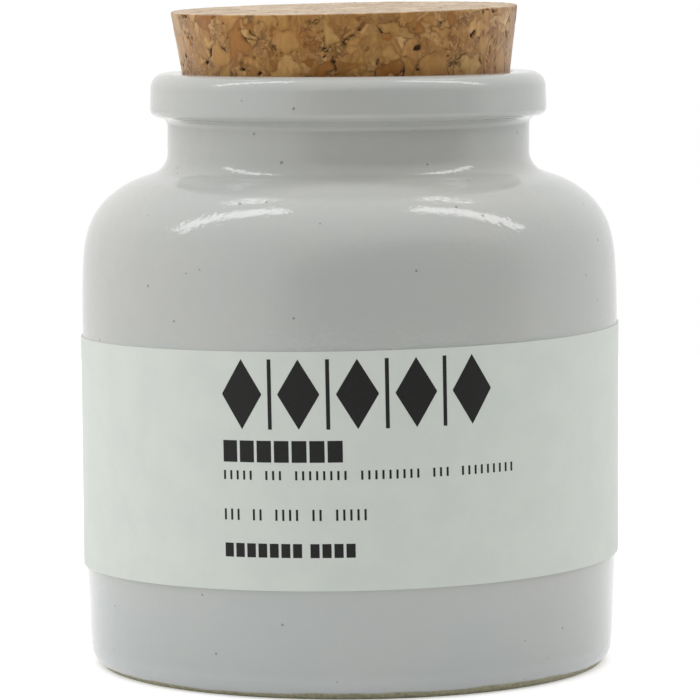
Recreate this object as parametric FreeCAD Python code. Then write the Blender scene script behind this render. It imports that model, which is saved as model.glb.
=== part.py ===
import FreeCAD, Part
import math
import os

# Squat stoneware mustard jar with a paper label band and a cork stopper, in millimetres.
# Origin at the centre of the foot, on the surface the jar stands on. +Z is up and the
# label's printed front faces -Y.

# Jar: one turned body, closed by its stopper.
WALL_R = 40.0
JAR_H = 88.45
FOOT_R = 37.65
FOOT_EDGE_R = 0.95
HEEL_R = 39.15
HEEL_Z = 1.45
HEEL_ROUND_R = 4.0
WALL_START_Z = 13.6
WALL_SWELL_R = 300.0
WALL_END_Z = 56.5
WALL_TURN_R = 140.0
SHOULDER_LOW_R = 39.65
SHOULDER_LOW_Z = 62.6
SHOULDER_LOW_ROUND_R = 20.0
SHOULDER_MID_R = 38.15
SHOULDER_MID_Z = 68.5
SHOULDER_MID_ROUND_R = 11.0
SHOULDER_TOP_R = 32.9
SHOULDER_TOP_Z = 72.2
SHOULDER_TOP_ROUND_R = 12.5
NECK_R = 27.0
NECK_ROOT_Z = 74.2
NECK_ROOT_ROUND_R = 3.4
RIM_UNDER_Z = 81.9
RIM_UNDER_ROUND_R = 1.35
RIM_LOW_R = 29.6
RIM_LOW_Z = 82.0
RIM_LOW_ROUND_R = 1.25
RIM_TOP_R = 29.4
RIM_TOP_ROUND_R = 2.2
MOUTH_R = 24.0
MOUTH_LIP_ROUND_R = 0.8
MOUTH_STEP = 1.0

# Label: a paper strip wrapped once round the wall, a little askew, so that it climbs.
LABEL_T = 0.3
LABEL_W = 34.15
LABEL_MID_Z = 33.1
LABEL_CLIMB_DEG = 0.79
LABEL_GAP = 4.0
OFFSET_TOLERANCE = 0.0001

# Stopper: a tapered cork that leans in the mouth and is cut slightly out of square.
CORK_RIM_R = 24.5
CORK_RIM_X = -0.18
CORK_TAPER_DEG = 8.2
CORK_PLUG_DEPTH = 8.0
CORK_TOP_Z = 98.0
CORK_LEAN_LEFT_DEG = 1.9
CORK_LEAN_FRONT_DEG = 1.06
CORK_TOP_TILT_LEFT_DEG = 0.9
CORK_EDGE_R = 0.5

Z_AXIS = FreeCAD.Vector(0, 0, 1)
ORIGIN = FreeCAD.Vector(0, 0, 0)


def rounded_wire(corners):
    """Closed wire in the XZ plane through (radius, height, rounding) corners."""
    points = [FreeCAD.Vector(radius, 0, height) for radius, height, rounding in corners]
    starts = []
    ends = []
    edges = []
    for i, here in enumerate(points):
        rounding = corners[i][2]
        to_before = (points[i - 1] - here).normalize()
        to_after = (points[(i + 1) % len(points)] - here).normalize()
        half_angle = to_before.getAngle(to_after) / 2
        setback = rounding / math.tan(half_angle)
        starts.append(here + to_before * setback)
        ends.append(here + to_after * setback)
        if rounding > 0:
            to_middle = (to_before + to_after).normalize()
            middle = here + to_middle * (rounding / math.sin(half_angle) - rounding)
            edges.append(Part.Arc(starts[i], middle, ends[i]).toShape())
    for i, start in enumerate(starts):
        run = start - ends[i - 1]
        if run.dot(points[i] - points[i - 1]) <= 0:
            raise ValueError("roundings of corners %d and %d overlap" % (i - 1, i))
        edges.append(Part.LineSegment(ends[i - 1], start).toShape())
    return Part.Wire(Part.__sortEdges__(edges))


def leaning(left_deg, front_deg):
    """Unit vector that points up and leans towards -X and -Y."""
    left = math.tan(math.radians(left_deg))
    front = math.tan(math.radians(front_deg))
    return FreeCAD.Vector(-left, -front, 1).normalize()


def make_cork():
    """Frustum along the leaning axis, cut off by the tilted top plane and eased at its edge."""
    axis = leaning(CORK_LEAN_LEFT_DEG, CORK_LEAN_FRONT_DEG)
    top_normal = leaning(CORK_TOP_TILT_LEFT_DEG, CORK_LEAN_FRONT_DEG)
    at_rim = FreeCAD.Vector(CORK_RIM_X, 0, JAR_H)
    plug_end = at_rim - axis * CORK_PLUG_DEPTH
    spread = math.tan(math.radians(CORK_TAPER_DEG))
    length = CORK_PLUG_DEPTH + 2 * (CORK_TOP_Z - JAR_H)
    plug_r = CORK_RIM_R - CORK_PLUG_DEPTH * spread
    blank = Part.makeCone(plug_r, plug_r + length * spread, length, plug_end, axis)
    top_centre = at_rim + axis * (CORK_TOP_Z - JAR_H)
    waste = Part.makeCylinder(2 * CORK_RIM_R, length, top_centre, top_normal)
    cork = blank.cut(waste)
    # The only closed edge above the rim is the one round the top face.
    top_edge = [edge for edge in cork.Edges if edge.isClosed() and edge.CenterOfMass.z > JAR_H]
    return cork.makeFillet(CORK_EDGE_R, top_edge)


def make_jar(cork):
    """Turned stoneware body; its mouth takes the shape of the cork pressed into it."""
    outline = rounded_wire([
        (0, 0, 0),
        (FOOT_R, 0, FOOT_EDGE_R),
        (HEEL_R, HEEL_Z, HEEL_ROUND_R),
        (WALL_R, WALL_START_Z, WALL_SWELL_R),
        (WALL_R, WALL_END_Z, WALL_TURN_R),
        (SHOULDER_LOW_R, SHOULDER_LOW_Z, SHOULDER_LOW_ROUND_R),
        (SHOULDER_MID_R, SHOULDER_MID_Z, SHOULDER_MID_ROUND_R),
        (SHOULDER_TOP_R, SHOULDER_TOP_Z, SHOULDER_TOP_ROUND_R),
        (NECK_R, NECK_ROOT_Z, NECK_ROOT_ROUND_R),
        (NECK_R, RIM_UNDER_Z, RIM_UNDER_ROUND_R),
        (RIM_LOW_R, RIM_LOW_Z, RIM_LOW_ROUND_R),
        (RIM_TOP_R, JAR_H, RIM_TOP_ROUND_R),
        (MOUTH_R, JAR_H, MOUTH_LIP_ROUND_R),
        (MOUTH_R, JAR_H - MOUTH_STEP, 0),
        (0, JAR_H - MOUTH_STEP, 0),
    ])
    body = Part.Face(outline).revolve(ORIGIN, Z_AXIS, 360)
    return body.cut(cork)


def make_label():
    """Strip on the wall between two helices, its ends a narrow gap apart at the back."""
    half_turn = math.pi - LABEL_GAP / 2 / WALL_R
    rise = half_turn * WALL_R * math.tan(math.radians(LABEL_CLIMB_DEG))
    height = LABEL_W / math.cos(math.radians(LABEL_CLIMB_DEG))
    low = LABEL_MID_Z - height / 2
    high = LABEL_MID_Z + height / 2
    # The cylinder's own angle starts at +X, so the front, -Y, lies at -90 degrees.
    front = 1.5 * math.pi
    corners = [
        (front - half_turn, low - rise),
        (front + half_turn, low + rise),
        (front + half_turn, high + rise),
        (front - half_turn, high - rise),
    ]
    wall = Part.Cylinder()
    wall.Radius = WALL_R
    edges = []
    for i, corner in enumerate(corners):
        here = FreeCAD.Base.Vector2d(*corner)
        after = FreeCAD.Base.Vector2d(*corners[(i + 1) % len(corners)])
        edges.append(Part.Geom2d.Line2dSegment(here, after).toShape(wall))
    face = Part.Face(wall, Part.Wire(edges))
    face.validate()
    return face.makeOffsetShape(LABEL_T, OFFSET_TOLERANCE, fill=True)


def main():
    cork = make_cork()
    nodes = {
        "stoneware_jar": make_jar(cork),
        "paper_label": make_label(),
        "cork_stopper": cork,
    }
    os.makedirs("parts", exist_ok=True)
    for name, shape in nodes.items():
        shape.exportStep("parts/" + name + ".step")


main()
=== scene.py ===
import math

import bpy
import numpy as np
from mathutils import Matrix, Vector


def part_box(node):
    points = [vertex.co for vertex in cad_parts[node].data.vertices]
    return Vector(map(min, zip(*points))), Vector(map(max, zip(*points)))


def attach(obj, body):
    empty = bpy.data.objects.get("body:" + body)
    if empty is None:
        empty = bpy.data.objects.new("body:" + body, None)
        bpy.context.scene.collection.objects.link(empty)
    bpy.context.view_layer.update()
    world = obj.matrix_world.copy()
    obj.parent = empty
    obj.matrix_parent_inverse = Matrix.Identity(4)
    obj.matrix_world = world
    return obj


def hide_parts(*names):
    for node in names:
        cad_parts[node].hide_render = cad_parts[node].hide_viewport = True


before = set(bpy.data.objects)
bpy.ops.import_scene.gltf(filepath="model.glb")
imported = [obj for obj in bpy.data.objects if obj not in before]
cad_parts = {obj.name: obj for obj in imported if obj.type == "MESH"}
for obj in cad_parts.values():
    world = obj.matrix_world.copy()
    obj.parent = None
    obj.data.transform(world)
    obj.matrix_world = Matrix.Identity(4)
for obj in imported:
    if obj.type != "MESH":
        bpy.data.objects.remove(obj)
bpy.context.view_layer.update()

# Looks of a stoneware mustard jar: glazed turned body, paper label strip, agglomerated cork.
# Metres throughout. The front is -Y, and angles round the jar are counted from the front
# towards +X.

MM = 0.001
JAR_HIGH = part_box("stoneware_jar")[1]
LABEL_LOW, LABEL_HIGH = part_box("paper_label")
WALL_R = JAR_HIGH[0]
JAR_H = JAR_HIGH[2]


def leaning(left_deg, front_deg):
    """Unit vector that points up and leans towards -X and -Y."""
    left = math.tan(math.radians(left_deg))
    front = math.tan(math.radians(front_deg))
    return Vector((-left, -front, 1)).normalized()


# Cork: the same leaning frustum as the frame's.
CORK_RIM_R = 24.5 * MM
CORK_TAPER = math.tan(math.radians(8.2))
CORK_PLUG_DEPTH = 8.0 * MM
CORK_STANDS_PROUD = 9.55 * MM
CORK_EDGE_R = 0.35 * MM
CORK_RIM_CENTRE = Vector((-0.18 * MM, 0, JAR_H))
CORK_LEAN_LEFT_DEG = 1.9
CORK_TOP_TILT_LEFT_DEG = 0.9
CORK_LEAN_FRONT_DEG = 1.06
CORK_AXIS = leaning(CORK_LEAN_LEFT_DEG, CORK_LEAN_FRONT_DEG)
CORK_TOP_NORMAL = leaning(CORK_TOP_TILT_LEFT_DEG, CORK_LEAN_FRONT_DEG)
CORK_TOP_CENTRE = CORK_RIM_CENTRE + CORK_AXIS * CORK_STANDS_PROUD
PLUG_END = CORK_RIM_CENTRE - CORK_AXIS * CORK_PLUG_DEPTH
PLUG_R = CORK_RIM_R - CORK_PLUG_DEPTH * CORK_TAPER

# Label strip.
LABEL_CLIMB = math.radians(0.79)
LABEL_GAP = 4.0 * MM
LABEL_W = 34.15 * MM
LABEL_MID_Z = (LABEL_LOW[2] + LABEL_HIGH[2]) / 2
LABEL_HALF_TURN = math.pi - LABEL_GAP / 2 / WALL_R
LABEL_TOP_R = WALL_R + 0.235 * MM
LABEL_FOOT_R = WALL_R + 0.17 * MM
LABEL_PAPER_T = 0.32 * MM


# ---------------------------------------------------------------- mesh helpers

def mesh_object(name, verts, faces, smooth=True):
    mesh = bpy.data.meshes.new(name)
    mesh.from_pydata([tuple(v) for v in verts], [], faces)
    mesh.validate()
    mesh.polygons.foreach_set("use_smooth", [smooth] * len(mesh.polygons))
    mesh.update()
    piece = bpy.data.objects.new(name, mesh)
    bpy.context.scene.collection.objects.link(piece)
    return piece


def grid_faces(rows, columns, first=0, closed=True):
    """Quads of a grid stored row by row; closed joins the last column to the first."""
    faces = []
    for i in range(rows - 1):
        for j in range(columns if closed else columns - 1):
            k = (j + 1) % columns
            a = first + i * columns
            faces.append((a + j, a + k, a + columns + k, a + columns + j))
    return faces


def turned_over(faces):
    return [tuple(reversed(face)) for face in faces]


def fan_faces(centre, ring, flip=False):
    """Triangles from a centre vertex to a closed ring of vertices."""
    pairs = zip(ring, ring[1:] + ring[:1])
    return [(centre, b, a) if flip else (centre, a, b) for a, b in pairs]


def rounded_outline(corners):
    """Points along an outline of (radius, height, rounding, spacing) corners.

    A corner's spacing also holds along the straight run to the next corner.
    """
    points = [np.array(corner[:2]) for corner in corners]
    out = [points[0]]
    for i in range(1, len(corners) - 1):
        here, rounding = points[i], corners[i][2]
        to_before = (points[i - 1] - here) / np.linalg.norm(points[i - 1] - here)
        to_after = (points[i + 1] - here) / np.linalg.norm(points[i + 1] - here)
        half = math.acos(float(np.clip(to_before @ to_after, -1, 1))) / 2
        setback = rounding / math.tan(half)
        start = here + to_before * setback
        out += between(out[-1], start, corners[i - 1][3])
        middle = (to_before + to_after) / np.linalg.norm(to_before + to_after)
        centre = here + middle * (rounding / math.sin(half))
        turn = math.pi - 2 * half
        steps = max(4, round(rounding * turn / corners[i][3]))
        sideways = np.array([-middle[1], middle[0]])
        side = np.sign(sideways @ (start - centre))
        for k in range(1, steps + 1):
            angle = side * turn * (0.5 - k / steps)
            out.append(centre + rounding * (-middle * math.cos(angle) + sideways * math.sin(angle)))
    out += between(out[-1], points[-1], corners[-2][3])
    return np.array(out)


def between(start, end, spacing):
    """Points after start up to end, about spacing apart, or none where the two nearly meet."""
    steps = round(float(np.linalg.norm(end - start)) / spacing)
    return [start + (end - start) * k / steps for k in range(1, steps + 1)]


def smooth_step(values, low, high):
    x = np.clip((values - low) / (high - low), 0, 1)
    return x * x * (3 - 2 * x)


def waves(angle, height, terms):
    """Sum of gentle waves round and up the body; terms are (size, turns, per metre, phase)."""
    return sum(a * np.sin(n * angle + k * height + p) for a, n, k, p in terms)


# ---------------------------------------------------------------- node helpers

def add_node(tree, kind, inputs=None, **settings):
    node = tree.nodes.new(kind)
    for name, value in settings.items():
        setattr(node, name, value)
    for name, value in (inputs or {}).items():
        if isinstance(value, bpy.types.NodeSocket):
            tree.links.new(value, node.inputs[name])
        else:
            node.inputs[name].default_value = value
    return node


def calc(tree, operation, a, b=0.0):
    return add_node(tree, "ShaderNodeMath", {0: a, 1: b}, operation=operation).outputs[0]


def times(tree, a, b):
    return calc(tree, "MULTIPLY", a, b)


def vector_calc(tree, operation, a, b=(0.0, 0.0, 0.0)):
    """Vector maths; the node gives a dot product from its second output."""
    node = add_node(tree, "ShaderNodeVectorMath", {0: a, 1: b}, operation=operation)
    return node.outputs[1 if operation == "DOT_PRODUCT" else 0]


def scaled(tree, vector, amount):
    inputs = {0: vector, "Scale": amount}
    return add_node(tree, "ShaderNodeVectorMath", inputs, operation="SCALE").outputs[0]


def remap(tree, value, low, high, to_low=0.0, to_high=1.0):
    """Smooth step from to_low, where the value is low, to to_high, where it is high."""
    inputs = {"Value": value, "From Min": low, "From Max": high,
              "To Min": to_low, "To Max": to_high}
    node = add_node(tree, "ShaderNodeMapRange", inputs, interpolation_type="SMOOTHSTEP")
    return node.outputs[0]


def blend(tree, factor, a, b):
    """Value a where the factor is 0 and b where it is 1, in a straight line between."""
    inputs = {"Value": factor, "To Min": a, "To Max": b}
    return add_node(tree, "ShaderNodeMapRange", inputs).outputs[0]


def mix_colour(tree, factor, a, b):
    node = add_node(tree, "ShaderNodeMix", data_type="RGBA", blend_type="MIX")
    for index, value in ((0, factor), (6, a), (7, b)):
        if isinstance(value, bpy.types.NodeSocket):
            tree.links.new(value, node.inputs[index])
        else:
            node.inputs[index].default_value = value
    return node.outputs[2]


def noise(tree, position, scale, detail=2.0, roughness=0.5):
    """Noise of a scale per metre, as a value in its output Fac and three in Color."""
    inputs = {"Vector": position, "Scale": scale, "Detail": detail, "Roughness": roughness}
    return add_node(tree, "ShaderNodeTexNoise", inputs)


def noise_value(tree, position, scale, detail=2.0, roughness=0.5):
    return noise(tree, position, scale, detail, roughness).outputs["Fac"]


def voronoi(tree, position, scale, feature="F1"):
    """Cells of a scale per metre; distances come out as a share of a cell's size."""
    inputs = {"Vector": position, "Scale": scale, "Randomness": 1.0}
    return add_node(tree, "ShaderNodeTexVoronoi", inputs, feature=feature)


def channels(tree, colour):
    """The three parts of a colour, by a node that shader and geometry trees both have."""
    return add_node(tree, "ShaderNodeSeparateXYZ", {0: colour}).outputs[:]


def stretched(tree, position, x, y, z):
    return vector_calc(tree, "MULTIPLY", position, (x, y, z))


def bumped(tree, shader, height, distance):
    """Gives the shader a bump from a height, which distance turns into metres."""
    inputs = {"Height": height, "Distance": distance, "Strength": 1.0}
    bump = add_node(tree, "ShaderNodeBump", inputs)
    tree.links.new(bump.outputs[0], shader.inputs["Normal"])


def srgb(red, green, blue):
    """Linear colour with alpha from 0-255 display values."""
    return tuple(((c / 255 + 0.055) / 1.055) ** 2.4 if c > 10 else c / 255 / 12.92
                 for c in (red, green, blue)) + (1.0,)


def new_material(name):
    """Empty node material, with its tree, its principled shader and its object coordinates."""
    material = bpy.data.materials.new(name)
    material.use_nodes = True
    tree = material.node_tree
    tree.nodes.clear()
    shader = add_node(tree, "ShaderNodeBsdfPrincipled")
    add_node(tree, "ShaderNodeOutputMaterial", {"Surface": shader.outputs[0]})
    position = add_node(tree, "ShaderNodeTexCoord").outputs["Object"]
    return material, tree, shader, position


def colour_ramp(tree, factor, stops):
    node = add_node(tree, "ShaderNodeValToRGB", {"Fac": factor})
    ramp = node.color_ramp
    while len(ramp.elements) < len(stops):
        ramp.elements.new(0.5)
    for element, (place, colour) in zip(ramp.elements, stops):
        element.position = place
        element.color = colour
    return node.outputs[0]


# ---------------------------------------------------------------- stoneware jar

GLAZE_EDGE_Z = 0.98 * MM
GLAZE_EDGE_BLUR = (-0.06 * MM, 0.14 * MM)
GLAZE_T = 0.12 * MM
SOCKET_GAP = 0.05 * MM
SOCKET_ROWS = 8
JAR_SEGMENTS = 320

# Radii between which the body's own centre gives way to the leaning cork's, near the mouth.
MOUTH_BLEND = (24.6 * MM, 25.3 * MM)
MOUTH_ABOVE_Z = 70 * MM

# Unevenness of the turned body and of the glaze's lower edge, as terms of waves().
BODY_WAVES = (
    (0.045 * MM, 2, 60, 0.4),
    (0.03 * MM, 3, -110, 1.9),
    (0.02 * MM, 5, 190, 4.1),
)
GLAZE_EDGE_WAVES = (
    (0.2 * MM, 1, 0, -0.3),
    (0.1 * MM, 3, 0, 0.5),
    (0.07 * MM, 8, 0, 2.2),
    (0.05 * MM, 19, 0, 4.0),
    (0.04 * MM, 37, 0, 1.1),
)

GLAZE_GREENISH = srgb(189, 192, 188)
GLAZE_NEUTRAL = srgb(194, 194, 189)
GLAZE_MOTTLE = srgb(183, 188, 188)
GLAZE_LOW_DOWN = srgb(181, 189, 190)
GLAZE_LIP = srgb(201, 205, 205)
PINHOLE_DARK = srgb(98, 94, 84)
CLAY_DARK = srgb(150, 146, 120)
CLAY_PALE = srgb(186, 181, 153)
PINHOLE_DEPTH = 0.05 * MM
RIPPLE_HEIGHT = 0.036 * MM
SWELL_HEIGHT = 0.03 * MM
GRIT_HEIGHT = 0.12 * MM


def jar_outline():
    """The turned outline from the middle of the foot to the lip, where the cork meets it."""
    # Radius, height, rounding and spacing of each corner, in millimetres.
    corners = (
        (0, 0, 0, 12),
        (37.65, 0, 0.95, 0.12),
        (39.15, 1.45, 4.0, 0.12),
        (40.0, 13.6, 300.0, 1.0),
        (40.0, 56.5, 140.0, 0.5),
        (39.65, 62.6, 20.0, 0.4),
        (38.15, 68.5, 11.0, 0.35),
        (32.9, 72.2, 12.5, 0.35),
        (27.0, 74.2, 3.4, 0.3),
        (27.0, 81.9, 1.35, 0.2),
        (29.6, 82.0, 1.25, 0.2),
        (29.4, 88.45, 2.2, 0.25),
        (24.55, 88.45, 0.6, 0.12),
        (24.55, 87.85, 0, 0.5),
    )
    return rounded_outline([[value * MM for value in corner] for corner in corners])


def build_jar():
    outline = jar_outline()
    depth = np.linspace(0, CORK_PLUG_DEPTH, SOCKET_ROWS)[1:]
    radius = np.concatenate([outline[:, 0], CORK_RIM_R + SOCKET_GAP - depth * CORK_TAPER])
    height = np.concatenate([outline[:, 1], JAR_H - depth - SOCKET_GAP])
    angle = np.linspace(0, 2 * math.pi, JAR_SEGMENTS, endpoint=False)[None, :]
    radius, height = radius[1:, None], height[1:, None]
    mouth = smooth_step(-radius, -MOUTH_BLEND[1], -MOUTH_BLEND[0]) * (height > MOUTH_ABOVE_Z)
    radius = radius + np.zeros_like(angle)
    radius += (1 - mouth) * waves(angle, height, BODY_WAVES)
    above_edge = height - GLAZE_EDGE_Z - waves(angle, 0, GLAZE_EDGE_WAVES)
    bare = 1 - smooth_step(above_edge, *GLAZE_EDGE_BLUR)
    radius -= GLAZE_T * bare
    verts = jar_places(angle, radius, height, mouth)
    rings = len(height)
    faces = grid_faces(rings, JAR_SEGMENTS)
    foot, floor = len(verts), len(verts) + 1
    verts += [(0, 0, 0), tuple(np.array(verts[-JAR_SEGMENTS:]).mean(axis=0))]
    faces += fan_faces(foot, list(range(JAR_SEGMENTS)), flip=True)
    faces += fan_faces(floor, list(range((rings - 1) * JAR_SEGMENTS, rings * JAR_SEGMENTS)))
    jar = mesh_object("jar", verts, faces)
    unglazed = jar.data.attributes.new("bare", "FLOAT", "POINT")
    unglazed.data.foreach_set("value", np.append(bare.ravel(), (1.0, 0.0)))
    jar.data.materials.append(glaze_material())
    return jar


def jar_places(angle, radius, height, mouth):
    """Points of the turned body, its mouth shifted to follow the leaning cork."""
    lean = np.array([CORK_AXIS.x, CORK_AXIS.y]) / CORK_AXIS.z
    centre_x = mouth * (CORK_RIM_CENTRE.x + lean[0] * (height - JAR_H))
    centre_y = mouth * (CORK_RIM_CENTRE.y + lean[1] * (height - JAR_H))
    x = radius * np.sin(angle) + centre_x
    y = -radius * np.cos(angle) + centre_y
    z = height + np.zeros_like(angle)
    return np.stack([x, y, z], axis=2).reshape(-1, 3).tolist()


def glaze_material():
    """Pale grey glaze, cooler low down, with pinholes and bare clay below its wavy edge."""
    material, tree, shader, position = new_material("stoneware_glaze")
    height = add_node(tree, "ShaderNodeSeparateXYZ", {0: position}).outputs[2]
    clouds = noise_value(tree, position, 45, 3)
    mottle = noise_value(tree, position, 420, 3, 0.6)
    glaze = mix_colour(tree, remap(tree, clouds, 0.35, 0.65), GLAZE_GREENISH, GLAZE_NEUTRAL)
    glaze = mix_colour(tree, remap(tree, mottle, 0.3, 0.75, 0, 0.25), glaze, GLAZE_MOTTLE)
    low = remap(tree, height, 20 * MM, 10 * MM, 0.0, 0.34)
    glaze = mix_colour(tree, low, glaze, GLAZE_LOW_DOWN)
    pinhole = pinholes(tree, position)
    glaze = mix_colour(tree, times(tree, pinhole, 0.55), glaze, PINHOLE_DARK)

    # Bare clay, warm olive brown and speckled, with a paler lip of thick glaze above it.
    bare = add_node(tree, "ShaderNodeAttribute", attribute_name="bare").outputs["Fac"]
    lip = remap(tree, height, 4.2 * MM, 1.4 * MM)
    glaze = mix_colour(tree, times(tree, lip, 0.7), glaze, GLAZE_LIP)
    grit = noise_value(tree, position, 1500, 4, 0.7)
    clay = mix_colour(tree, remap(tree, grit, 0.3, 0.7), CLAY_DARK, CLAY_PALE)
    tree.links.new(mix_colour(tree, bare, glaze, clay), shader.inputs["Base Color"])

    gloss = remap(tree, mottle, 0.3, 0.7, 0.05, 0.09)
    rough = calc(tree, "ADD", times(tree, bare, 0.6), gloss)
    tree.links.new(rough, shader.inputs["Roughness"])
    shader.inputs["IOR"].default_value = 1.5
    bumped(tree, shader, glaze_relief(tree, position, pinhole, times(tree, grit, bare)), 1.0)
    return material


def pinholes(tree, position):
    """Sparse small dots, which are 1 in their middle: most cells have none at the surface."""
    cells = voronoi(tree, position, 520)
    size = remap(tree, channels(tree, cells.outputs["Color"])[0], 0.68, 1.0, 0.0, 0.14)
    dot = calc(tree, "SUBTRACT", size, cells.outputs["Distance"])
    return remap(tree, dot, 0.0, 0.04)


def glaze_relief(tree, position, pinhole, grit):
    """Height of the glaze's ripple and swell, its pinholes and the clay's grit, in metres."""
    ripple = noise_value(tree, position, 1300)
    swell = noise_value(tree, position, 160, 1)
    relief = calc(tree, "ADD", times(tree, ripple, RIPPLE_HEIGHT), times(tree, swell, SWELL_HEIGHT))
    relief = calc(tree, "SUBTRACT", relief, times(tree, pinhole, PINHOLE_DEPTH))
    return calc(tree, "ADD", relief, times(tree, grit, GRIT_HEIGHT))


# ---------------------------------------------------------------- paper label

COCKLE_HEIGHT = 0.012 * MM
EDGE_LIFT = 0.02 * MM
PAPER_TOOTH = 0.01 * MM
LABEL_ROWS = 421
LABEL_COLUMNS = 25
SHARP_EDGE = math.radians(40)
PAPER_PALE = srgb(218, 223, 216)
PAPER_DEEP = srgb(213, 219, 212)


def label_radius(z):
    """Outer radius of the paper, a touch wider at the top of the strip than at its foot."""
    widening = LABEL_TOP_R - LABEL_FOOT_R
    return LABEL_FOOT_R + widening * (z - LABEL_LOW[2]) / (LABEL_HIGH[2] - LABEL_LOW[2])


def paper_lift(s, t):
    """Slight unevenness of the glued paper, from its place along and across the strip."""
    across = t / (LABEL_W / 2)
    cockle = COCKLE_HEIGHT * (np.sin(s * 210 + 1.3) + np.sin(s * 95 + t * 120) * across)
    return cockle + EDGE_LIFT * across ** 6


def on_label(s, t, proud=0.0):
    """Place on the paper from s along and t across the strip, both zero at its front middle."""
    angle = (s * math.cos(LABEL_CLIMB) - t * math.sin(LABEL_CLIMB)) / WALL_R
    z = LABEL_MID_Z + s * math.sin(LABEL_CLIMB) + t * math.cos(LABEL_CLIMB)
    radius = label_radius(z) + paper_lift(s, t) + proud
    return np.stack([radius * np.sin(angle), -radius * np.cos(angle), z], axis=-1)


def build_label():
    """Closed thin strip: outer sheet, inner sheet and the cut edges between them."""
    half = LABEL_HALF_TURN * WALL_R / math.cos(LABEL_CLIMB)
    rows, columns = LABEL_ROWS, LABEL_COLUMNS
    s = np.linspace(-half, half, rows)[:, None]
    t = np.linspace(-LABEL_W / 2, LABEL_W / 2, columns)[None, :]
    outer = on_label(s, t).reshape(-1, 3)
    inner = on_label(s, t, -LABEL_PAPER_T).reshape(-1, 3)
    count = rows * columns
    faces = turned_over(grid_faces(rows, columns, closed=False))
    faces += grid_faces(rows, columns, count, closed=False)
    border = [i * columns for i in range(rows)]
    border += [(rows - 1) * columns + j for j in range(1, columns)]
    border += [i * columns + columns - 1 for i in range(rows - 2, -1, -1)]
    border += [j for j in range(columns - 2, 0, -1)]
    for a, b in zip(border, border[1:] + border[:1]):
        faces.append((b, a, a + count, b + count))
    label = mesh_object("label", np.concatenate([outer, inner]), faces)
    label.data.set_sharp_from_angle(angle=SHARP_EDGE)
    label.data.materials.append(paper_material())
    return label


def paper_material():
    """Smooth uncoated paper: faint fibre clouds and a fine tooth."""
    material, tree, shader, position = new_material("label_paper")
    clouds = noise_value(tree, position, 180, 4, 0.6)
    fibres = noise_value(tree, stretched(tree, position, 1, 1, 2.5), 2200, 3, 0.7)
    colour = mix_colour(tree, remap(tree, clouds, 0.3, 0.7), PAPER_PALE, PAPER_DEEP)
    colour = mix_colour(tree, remap(tree, fibres, 0.35, 0.8, 0.0, 0.2), colour, PAPER_DEEP)
    tree.links.new(colour, shader.inputs["Base Color"])
    tree.links.new(remap(tree, fibres, 0.3, 0.7, 0.55, 0.68), shader.inputs["Roughness"])
    bumped(tree, shader, fibres, PAPER_TOOTH)
    return material


# ---------------------------------------------------------------- print on the label

INK_PROUD = 0.012 * MM
INK_SUNK = 0.05 * MM
INK_STEP = 0.8 * MM
INK_DARK = srgb(20, 20, 19)
INK_WORN = srgb(34, 34, 32)
PRINT_LEFT = -18.6 * MM
LOZENGES = 5
LOZENGE_PITCH = 8.4 * MM
LOZENGE_HALF_WIDTH = 3.0 * MM
LOZENGE_STEPS = 16
LOZENGE_BLUNTNESS = 0.015
RULE_HALF_WIDTH = 0.28 * MM
FRIEZE_SPAN = (6.0 * MM, 16.0 * MM)

# Widths and gaps of the smaller print's upright bars.
BOLD_BARS = (2.15 * MM, 0.42 * MM)
MEDIUM_BARS = (1.3 * MM, 0.4 * MM)
FINE_BARS = (0.32 * MM, 0.68 * MM)

# Rows of the smaller print: bars in each group, their kind, and the row's foot and top.
BAR_ROWS = (
    ((7,), BOLD_BARS, 1.3 * MM, 4.4 * MM),
    ((5, 3, 8, 9, 3, 9), FINE_BARS, -1.2 * MM, 0.1 * MM),
    ((3, 2, 4, 2, 5), FINE_BARS, -7.0 * MM, -5.4 * MM),
    ((7, 4), MEDIUM_BARS, -12.3 * MM, -10.3 * MM),
)


def ink_shape(left, right, low, high, steps):
    """Closed film of ink between the curves low(s) and high(s), as vertices and faces."""
    s = left + (right - left) * (0.5 - 0.5 * np.cos(np.linspace(0, math.pi, steps + 1)))
    corners = []
    for proud in (INK_PROUD, -INK_SUNK):
        for edge in (low, high):
            corners.append(on_label(s, edge(s), proud))
    verts = np.stack(corners, axis=1).reshape(-1, 3)
    faces = [(0, 1, 3, 2)]
    for i in range(steps):
        a, b = 4 * i, 4 * i + 4
        faces += [(a, b, b + 1, a + 1), (a + 3, b + 3, b + 2, a + 2)]
        faces += [(a + 1, b + 1, b + 3, a + 3), (a + 2, b + 2, b, a)]
    last = 4 * steps
    faces.append((last, last + 2, last + 3, last + 1))
    return verts, faces


def ink_bar(left, right, low, high):
    steps = max(2, round((right - left) / INK_STEP))
    return ink_shape(left, right, lambda s: s * 0 + low, lambda s: s * 0 + high, steps)


def ink_lozenge(middle, half_width, low, high):
    """Upright lozenge; its side corners stop just short of a point."""
    centre, half_height = (low + high) / 2, (high - low) / 2

    def reach(s):
        return half_height * (1 - (1 - LOZENGE_BLUNTNESS) * np.abs(s - middle) / half_width)

    return ink_shape(middle - half_width, middle + half_width,
                     lambda s: centre - reach(s), lambda s: centre + reach(s), LOZENGE_STEPS)


def joined(shapes):
    verts, faces = [], []
    for shape_verts, shape_faces in shapes:
        first = len(verts)
        verts += [tuple(v) for v in shape_verts]
        faces += [tuple(first + i for i in face) for face in shape_faces]
    return verts, faces


def row(left, groups, width, gap, low, high):
    """Upright bars of one width, in groups of the given counts with a wider gap after each."""
    shapes = []
    for count in groups:
        for _ in range(count):
            shapes.append(ink_bar(left, left + width, low, high))
            left += width + gap
        left += 2 * gap
    return shapes


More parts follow.
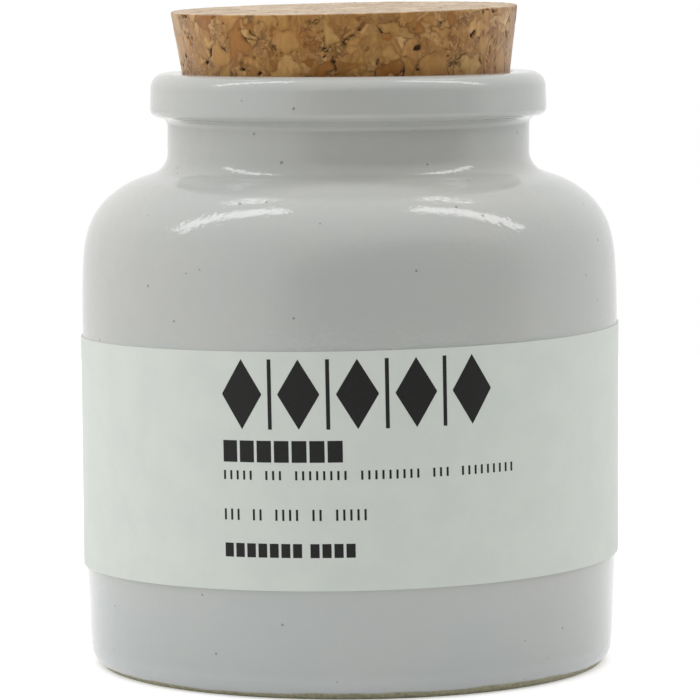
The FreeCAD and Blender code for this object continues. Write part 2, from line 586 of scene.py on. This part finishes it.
def build_frieze():
    """Large ornament: tall lozenges with fine upright rules between them."""
    shapes = []
    for i in range(LOZENGES):
        middle = PRINT_LEFT + LOZENGE_HALF_WIDTH + i * LOZENGE_PITCH
        shapes.append(ink_lozenge(middle, LOZENGE_HALF_WIDTH, *FRIEZE_SPAN))
        if i < LOZENGES - 1:
            rule = middle + LOZENGE_PITCH / 2
            shapes.append(ink_bar(rule - RULE_HALF_WIDTH, rule + RULE_HALF_WIDTH, *FRIEZE_SPAN))
    return joined(shapes)


def build_bars():
    """Smaller print: rows of bold blocks and of fine upright ticks, from the same left edge."""
    shapes = []
    for groups, bars, low, high in BAR_ROWS:
        shapes += row(PRINT_LEFT, groups, *bars, low, high)
    return joined(shapes)


def ink_material():
    """Soft black printing ink that lets a little of the paper's tooth through."""
    material, tree, shader, position = new_material("printing_ink")
    tooth = noise_value(tree, position, 2600, 3, 0.7)
    colour = mix_colour(tree, remap(tree, tooth, 0.45, 0.8), INK_DARK, INK_WORN)
    tree.links.new(colour, shader.inputs["Base Color"])
    tree.links.new(remap(tree, tooth, 0.3, 0.7, 0.5, 0.62), shader.inputs["Roughness"])
    shader.inputs["Specular IOR Level"].default_value = 0.3
    return material


def build_prints():
    """The label's two pieces of print, with one ink."""
    ink = ink_material()
    prints = []
    for name, (verts, faces) in (("print_frieze", build_frieze()), ("print_bars", build_bars())):
        piece = mesh_object(name, verts, faces, smooth=False)
        piece.data.materials.append(ink)
        prints.append(piece)
    return prints


# ---------------------------------------------------------------- cork stopper

CORK_CELLS = 160
CORK_STEP = 0.26 * MM
PLUG_ROWS = 8
FINE_ROWS_BELOW_RIM = 0.8 * MM
EDGE_STEPS = 4

# Granules of three sizes; a large one's second random value says whether it is broken up.
LARGE_GRANULE = 3.5 * MM
MIDDLING_GRANULE = 2.1 * MM
CRUMB = 1.15 * MM
MIDDLING_FROM = 0.42
CRUMBLY_FROM = 0.7
WARP = 5.0 * MM
FRAY = 0.5 * MM
RELIEF_DEPTHS = {"line": 0.06 * MM, "crevice": 0.3 * MM, "pit": 0.5 * MM, "tone": 0.05 * MM}
GRAIN_HEIGHT = 0.08 * MM

CORK_TONES = (
    (0.0, srgb(226, 183, 122)),
    (0.22, srgb(202, 154, 90)),
    (0.5, srgb(184, 136, 74)),
    (0.66, srgb(214, 168, 106)),
    (0.78, srgb(174, 122, 62)),
    (0.88, srgb(160, 102, 44)),
    (1.0, srgb(202, 164, 100)),
)
CORK_GRAIN = srgb(140, 98, 50)
CORK_CLOUD = srgb(198, 158, 106)
CORK_WARM = srgb(170, 114, 58)
# Pale colour of the top: partly the fresh cut, partly a painted sheen of grazing light.
CORK_SAWN_AND_SHEEN = srgb(218, 201, 170)
GRANULE_RIM = srgb(122, 78, 36)
SEAM_LINE = srgb(74, 44, 22)
# Painted shade inside the open crevices and the pits.
CREVICE_PAINTED_SHADE = srgb(50, 32, 19)
PIT_PAINTED_SHADE = srgb(44, 29, 18)


def disc_grid(cells):
    """Points of a square grid bent into the unit disc, so that its cells stay even."""
    line = np.linspace(-1, 1, cells + 1)
    u, v = np.meshgrid(line, line, indexing="ij")
    return u * np.sqrt(1 - v * v / 2), v * np.sqrt(1 - u * u / 2)


def square_border(cells):
    """Grid indices once round the border of a square grid, anticlockwise from its first corner."""
    n = cells + 1
    border = [(i, 0) for i in range(cells)] + [(cells, j) for j in range(cells)]
    border += [(i, cells) for i in range(cells, 0, -1)] + [(0, j) for j in range(cells, 0, -1)]
    return [i * n + j for i, j in border]


def build_cork():
    """Tapered plug with an evenly meshed side and top, then the relief of its granules."""
    side_x = Vector((1, 0, 0)).cross(CORK_AXIS).cross(CORK_AXIS).normalized() * -1
    side_y = CORK_AXIS.cross(side_x)
    disc = disc_grid(CORK_CELLS)
    border = square_border(CORK_CELLS)
    rim_x, rim_y = (part.ravel()[border] for part in disc)
    outward = rim_x[:, None] * np.array(side_x) + rim_y[:, None] * np.array(side_y)
    length = cork_length(outward)
    rings = cork_side(outward, length)
    rim = cork_ring(length, outward, CORK_EDGE_R)
    top = cork_top(disc, np.unwrap(np.arctan2(rim_y, rim_x)), rim)
    columns = len(border)
    first = len(rings) * columns
    verts = np.concatenate(rings + [top, [np.array(PLUG_END)]])
    faces = grid_faces(len(rings), columns)
    faces += turned_over(grid_faces(CORK_CELLS + 1, CORK_CELLS + 1, first, closed=False))
    top_ring = [first + i for i in border]
    last_ring = first - columns
    for j in range(columns):
        k = (j + 1) % columns
        faces.append((last_ring + j, last_ring + k, top_ring[k], top_ring[j]))
    faces += fan_faces(first + len(top), list(range(columns)), flip=True)
    cork = mesh_object("cork", verts, faces)
    carve_granules(cork)
    cork.data.materials.append(cork_material())
    return cork


def cork_length(outward):
    """Distance along the axis from the plug's end to the top plane, for each direction."""
    axis, normal = np.array(CORK_AXIS), np.array(CORK_TOP_NORMAL)
    tilt = outward @ normal
    drop = float(Vector(PLUG_END - CORK_TOP_CENTRE).dot(CORK_TOP_NORMAL))
    return -(drop + PLUG_R * tilt) / (axis @ normal + CORK_TAPER * tilt)


def cork_ring(along, outward, inset=0.0):
    """Ring of points at a distance along the axis, for each direction."""
    radius = PLUG_R + along * CORK_TAPER - inset
    return np.array(PLUG_END) + along[:, None] * np.array(CORK_AXIS) + radius[:, None] * outward


def cork_side(outward, length):
    """Rings up the plug and the visible side, then round the eased edge."""
    plug_rows = np.linspace(0, CORK_PLUG_DEPTH - FINE_ROWS_BELOW_RIM, PLUG_ROWS)
    rings = [cork_ring(np.full(len(outward), along), outward) for along in plug_rows]
    start = plug_rows[-1]
    steps = round((CORK_PLUG_DEPTH + CORK_STANDS_PROUD - start) / CORK_STEP)
    for k in range(1, steps + 1):
        rings.append(cork_ring(start + (length - CORK_EDGE_R - start) * k / steps, outward))
    for k in range(1, EDGE_STEPS):
        angle = k / EDGE_STEPS * math.pi / 2
        along = length - CORK_EDGE_R * (1 - math.sin(angle))
        rings.append(cork_ring(along, outward, CORK_EDGE_R * (1 - math.cos(angle))))
    return rings


def cork_top(disc, rim_bearing, rim):
    """Grid of the top face, which reaches the rim along straight lines from the middle."""
    distance = np.hypot(*disc).ravel()
    bearing = np.arctan2(disc[1], disc[0]).ravel()
    middle = rim.mean(axis=0)
    reach = rim - middle
    order = np.mod(bearing - rim_bearing[0], 2 * math.pi) + rim_bearing[0]
    knots = np.append(rim_bearing, rim_bearing[0] + 2 * math.pi)
    spread = [np.interp(order, knots, np.append(part, part[0])) for part in reach.T]
    return middle + distance[:, None] * np.stack(spread, axis=1)


def offset_by(tree, position, vectors, amount):
    """Position moved by a noise colour, which is centred on zero first."""
    centred = vector_calc(tree, "SUBTRACT", vectors, (0.5, 0.5, 0.5))
    return vector_calc(tree, "ADD", position, scaled(tree, centred, amount))


def pick(tree, switch, a, b):
    """Value a where switch is 0 and b where it is 1."""
    return calc(tree, "ADD", a, times(tree, switch, calc(tree, "SUBTRACT", b, a)))


def granules(tree, place, size):
    """Cells of about one size: two random values for each, and the distance to a seam."""
    scale = 1 / size
    cells = channels(tree, voronoi(tree, place, scale).outputs["Color"])
    edge = voronoi(tree, place, scale, "DISTANCE_TO_EDGE").outputs["Distance"]
    return cells[0], cells[1], times(tree, edge, size)


def cork_fields(tree, position):
    """Tone, seams, crevices and pits of agglomerated cork, for relief and colour alike."""
    warp = noise(tree, position, 280).outputs["Color"]
    place = offset_by(tree, position, warp, WARP)
    fray = noise(tree, position, 1500).outputs["Color"]
    place = offset_by(tree, place, fray, FRAY)

    # Large granules, some of them broken up into middling ones and some into crumbs.
    tone, kind, seam = granules(tree, place, LARGE_GRANULE)
    middling = calc(tree, "GREATER_THAN", kind, MIDDLING_FROM)
    crumbly = calc(tree, "GREATER_THAN", kind, CRUMBLY_FROM)
    mid_tone, mid_seam = granules(tree, place, MIDDLING_GRANULE)[::2]
    crumb_tone, crumb_seam = granules(tree, place, CRUMB)[::2]
    tone = pick(tree, middling, tone, mid_tone)
    tone = pick(tree, crumbly, tone, crumb_tone)
    seam = calc(tree, "MINIMUM", seam, pick(tree, middling, 1.0, mid_seam))
    seam = calc(tree, "MINIMUM", seam, pick(tree, crumbly, 1.0, crumb_seam))
    line = seam_lines(tree, position, seam, crumbly)
    crevice = crevices(tree, position, seam, crumbly)
    pit = pits(tree, place, seam)
    return {"tone": tone, "seam": seam, "line": line, "crevice": crevice, "pit": pit}


def seam_lines(tree, position, seam, crumbly):
    """Most seams: faint lines that come and go."""
    shown = noise_value(tree, position, 420)
    width = remap(tree, shown, 0.42, 0.62, 0.0, 0.1 * MM)
    line = remap(tree, calc(tree, "SUBTRACT", width, seam), -0.06 * MM, 0.05 * MM)
    line = times(tree, line, remap(tree, shown, 0.42, 0.58))
    return times(tree, line, pick(tree, crumbly, 1.0, 0.5))


def crevices(tree, position, seam, crumbly):
    """A few seams that have opened, more faintly among crumbs."""
    opened = noise_value(tree, position, 300, 3, 0.6)
    width = remap(tree, opened, 0.51, 0.68, -0.05 * MM, 0.19 * MM)
    crevice = remap(tree, calc(tree, "SUBTRACT", width, seam), 0.0, 0.05 * MM)
    return times(tree, crevice, pick(tree, crumbly, 1.0, 0.4))


def pits(tree, place, seam):
    """Pits where crumbs have dropped out beside a seam."""
    pores = voronoi(tree, place, 620)
    size = remap(tree, channels(tree, pores.outputs["Color"])[0], 0.62, 1.0, 0.0, 0.42)
    size = times(tree, size, remap(tree, seam, 0.5 * MM, 0.1 * MM))
    return remap(tree, calc(tree, "SUBTRACT", size, pores.outputs["Distance"]), 0.0, 0.07)


def carve_granules(cork):
    """Sinks seams, crevices, pits and uneven granules into the cork's mesh, inwards only."""
    tree = bpy.data.node_groups.new("cork_relief", "GeometryNodeTree")
    for end in ("INPUT", "OUTPUT"):
        tree.interface.new_socket("Geometry", in_out=end, socket_type="NodeSocketGeometry")
    geometry = add_node(tree, "NodeGroupInput").outputs[0]
    position = add_node(tree, "GeometryNodeInputPosition").outputs[0]
    fields = cork_fields(tree, position)
    relief = 0.0
    for field, depth in RELIEF_DEPTHS.items():
        relief = calc(tree, "SUBTRACT", relief, times(tree, fields[field], depth))
    normal = add_node(tree, "GeometryNodeInputNormal").outputs[0]
    inputs = {"Geometry": geometry, "Offset": scaled(tree, normal, relief)}
    moved = add_node(tree, "GeometryNodeSetPosition", inputs)
    add_node(tree, "NodeGroupOutput", {0: moved.outputs[0]})
    modifier = cork.modifiers.new("relief", "NODES")
    modifier.node_group = tree
    evaluated = cork.evaluated_get(bpy.context.evaluated_depsgraph_get())
    carved = bpy.data.meshes.new_from_object(evaluated)
    cork.modifiers.clear()
    cork.data = carved


def cork_material():
    """Toned granules with grain and clouds, dark at their seams, with painted shade in open
    crevices and pits, and pale on the sawn top, partly for its fresh cut and partly as a painted
    sheen of light grazing the top.
    """
    material, tree, shader, position = new_material("agglomerated_cork")
    fields = cork_fields(tree, position)
    colour = colour_ramp(tree, fields["tone"], CORK_TONES)
    grain = noise_value(tree, stretched(tree, position, 1.0, 1.0, 0.45), 1400, 4, 0.65)
    cloud = noise_value(tree, position, 420, 3, 0.6)
    warm = noise_value(tree, position, 240, 1)
    colour = mix_colour(tree, remap(tree, grain, 0.35, 0.7, 0.0, 0.4), colour, CORK_GRAIN)
    colour = mix_colour(tree, remap(tree, cloud, 0.45, 0.75, 0.0, 0.35), colour, CORK_CLOUD)
    colour = mix_colour(tree, remap(tree, warm, 0.45, 0.7, 0.0, 0.35), colour, CORK_WARM)
    # Pale top: partly the fresh cut, partly a painted sheen where light grazes the top face and its
    # eased edge.
    colour = mix_colour(tree, sawn_face_and_sheen(tree, position), colour, CORK_SAWN_AND_SHEEN)

    rim = remap(tree, fields["seam"], 0.6 * MM, 0.0, 0.0, 0.38)
    colour = mix_colour(tree, rim, colour, GRANULE_RIM)
    colour = mix_colour(tree, times(tree, fields["line"], 0.5), colour, SEAM_LINE)
    # Painted shade in the open crevices and pits.
    colour = mix_colour(tree, times(tree, fields["crevice"], 0.85), colour, CREVICE_PAINTED_SHADE)
    colour = mix_colour(tree, times(tree, fields["pit"], 0.9), colour, PIT_PAINTED_SHADE)
    tree.links.new(colour, shader.inputs["Base Color"])
    tree.links.new(remap(tree, grain, 0.3, 0.7, 0.5, 0.64), shader.inputs["Roughness"])
    shader.inputs["Specular IOR Level"].default_value = 0.12
    shader.inputs["Sheen Weight"].default_value = 0.45
    shader.inputs["Sheen Roughness"].default_value = 0.45
    bumped(tree, shader, grain, GRAIN_HEIGHT)
    return material


def sawn_face_and_sheen(tree, position):
    """How far the sawn and sanded top face is paled, partly for its fresh cut and partly as a
    painted sheen of light grazing the top and its eased edge; it is 0 on the side below it.
    """
    level = vector_calc(tree, "DOT_PRODUCT", position, CORK_TOP_NORMAL)
    top_level = float(CORK_TOP_CENTRE.dot(CORK_TOP_NORMAL))
    return remap(tree, level, top_level - 0.2 * MM, top_level - 0.06 * MM, 0.0, 0.6)


# ---------------------------------------------------------------- studio

TENT_WALL = 0.94
TENT_OPENING = 0.04
TENT_OPENING_AZIMUTH = math.radians(26)
TENT_OPENING_FLATNESS = 2.1
# Cosines, measured from the opening's middle, between which the wall gives way to it.
TENT_OPENING_EDGE = (0.38, 0.8)

FLOOR_R = 0.5
FLOOR_SEGMENTS = 96
FLOOR_GREY = 0.8
FLOOR_GLOW = 0.4

# The strip lights' places and widths are in shares of their height above the shoulder.
SHOULDER_Z = 0.07
STRIP_HEIGHT = 0.45
MAIN_STRIP = {"near": 0.28, "far": 1.7, "y": -0.01, "width": 0.2, "radiance": 5.0}
BACK_STRIP = {"near": 0.02, "far": 0.5, "y": 0.378, "width": 0.06, "radiance": 4.5}

CAMERA_X = 0.03 * MM
CAMERA_DISTANCE = 664.8 * MM
CAMERA_HEIGHT = 106.98 * MM
CAMERA_PITCH = math.radians(5.18)
CAMERA_ROLL = -0.0063
CAMERA_SENSOR = 36
CAMERA_LENS = 228.6
CAMERA_CLIP_START = 0.01


def build_floor():
    """Round white floor that shows white to the camera and keeps the jar's shadow."""
    turns = np.linspace(0, 2 * math.pi, FLOOR_SEGMENTS + 1)[:-1]
    ring = [(FLOOR_R * math.cos(a), FLOOR_R * math.sin(a), 0) for a in turns]
    floor = mesh_object("floor", ring, [tuple(range(FLOOR_SEGMENTS))], smooth=False)
    material = bpy.data.materials.new("studio_floor")
    material.use_nodes = True
    tree = material.node_tree
    tree.nodes.clear()
    grey = (FLOOR_GREY, FLOOR_GREY, FLOOR_GREY, 1)
    diffuse = add_node(tree, "ShaderNodeBsdfDiffuse", {"Color": grey})
    glow = add_node(tree, "ShaderNodeEmission", {"Strength": seen_directly(tree, FLOOR_GLOW, 0.0)})
    both = add_node(tree, "ShaderNodeAddShader", {0: diffuse.outputs[0], 1: glow.outputs[0]})
    add_node(tree, "ShaderNodeOutputMaterial", {"Surface": both.outputs[0]})
    floor.data.materials.append(material)


def seen_directly(tree, shown, otherwise):
    """One value for camera, glossy and transmission rays and another for the light itself."""
    path = add_node(tree, "ShaderNodeLightPath")
    direct = calc(tree, "MAXIMUM", path.outputs["Is Camera Ray"], path.outputs["Is Glossy Ray"])
    direct = calc(tree, "MAXIMUM", direct, path.outputs["Is Transmission Ray"])
    return blend(tree, direct, otherwise, shown)


def build_world():
    """White tent round the jar, open towards the front and a little to the right."""
    world = bpy.data.worlds.new("tent")
    bpy.context.scene.world = world
    world.use_nodes = True
    tree = world.node_tree
    tree.nodes.clear()
    direction = add_node(tree, "ShaderNodeTexCoord").outputs["Generated"]
    flattened = stretched(tree, direction, 1, 1, TENT_OPENING_FLATNESS)
    flattened = vector_calc(tree, "NORMALIZE", flattened)
    opening = Vector((math.sin(TENT_OPENING_AZIMUTH), -math.cos(TENT_OPENING_AZIMUTH), 0))
    towards = vector_calc(tree, "DOT_PRODUCT", flattened, opening)
    light = remap(tree, towards, *TENT_OPENING_EDGE, TENT_WALL, TENT_OPENING)
    background = add_node(tree, "ShaderNodeBackground", {"Color": (1, 1, 1, 1)})
    camera = add_node(tree, "ShaderNodeLightPath").outputs["Is Camera Ray"]
    tree.links.new(blend(tree, camera, light, 1.0), background.inputs["Strength"])
    add_node(tree, "ShaderNodeOutputWorld", {"Surface": background.outputs[0]})


def strip_light(name, side, strip):
    """Overhead strip, long in X, that shows in the glaze as a streak; side is -1 or 1."""
    x_near = side * strip["near"] * STRIP_HEIGHT
    x_far = side * strip["far"] * STRIP_HEIGHT
    lamp = bpy.data.lights.new(name, "AREA")
    lamp.shape = "RECTANGLE"
    lamp.size = abs(x_far - x_near)
    lamp.size_y = strip["width"] * STRIP_HEIGHT
    lamp.energy = strip["radiance"] * math.pi * lamp.size * lamp.size_y
    holder = bpy.data.objects.new(name, lamp)
    holder.location = ((x_near + x_far) / 2, strip["y"] * STRIP_HEIGHT, SHOULDER_Z + STRIP_HEIGHT)
    bpy.context.scene.collection.objects.link(holder)


def build_lights():
    for side, name in ((-1, "left"), (1, "right")):
        strip_light("strip_" + name, side, MAIN_STRIP)
        strip_light("strip_back_" + name, side, BACK_STRIP)


def build_camera():
    """Long lens a little above the jar, looking slightly down."""
    camera = bpy.data.cameras.new("camera")
    camera.sensor_width = CAMERA_SENSOR
    camera.lens = CAMERA_LENS
    camera.clip_start = CAMERA_CLIP_START
    holder = bpy.data.objects.new("camera", camera)
    bpy.context.scene.collection.objects.link(holder)
    pitch = Matrix.Rotation(math.pi / 2 - CAMERA_PITCH, 4, "X")
    roll = Matrix.Rotation(CAMERA_ROLL, 4, "Z")
    place = Matrix.Translation((CAMERA_X, -CAMERA_DISTANCE, CAMERA_HEIGHT))
    holder.matrix_world = place @ pitch @ roll
    bpy.context.scene.camera = holder


def main():
    for piece, node, slot in ((build_jar(), "stoneware_jar", "glaze"),
                              (build_label(), "paper_label", "paper"),
                              (build_cork(), "cork_stopper", "cork")):
        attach(piece, "root")
        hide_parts(node)
    for piece in build_prints():
        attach(piece, "root")
    build_floor()
    build_world()
    build_lights()
    build_camera()
    bpy.context.scene.view_settings.view_transform = "Standard"


main()
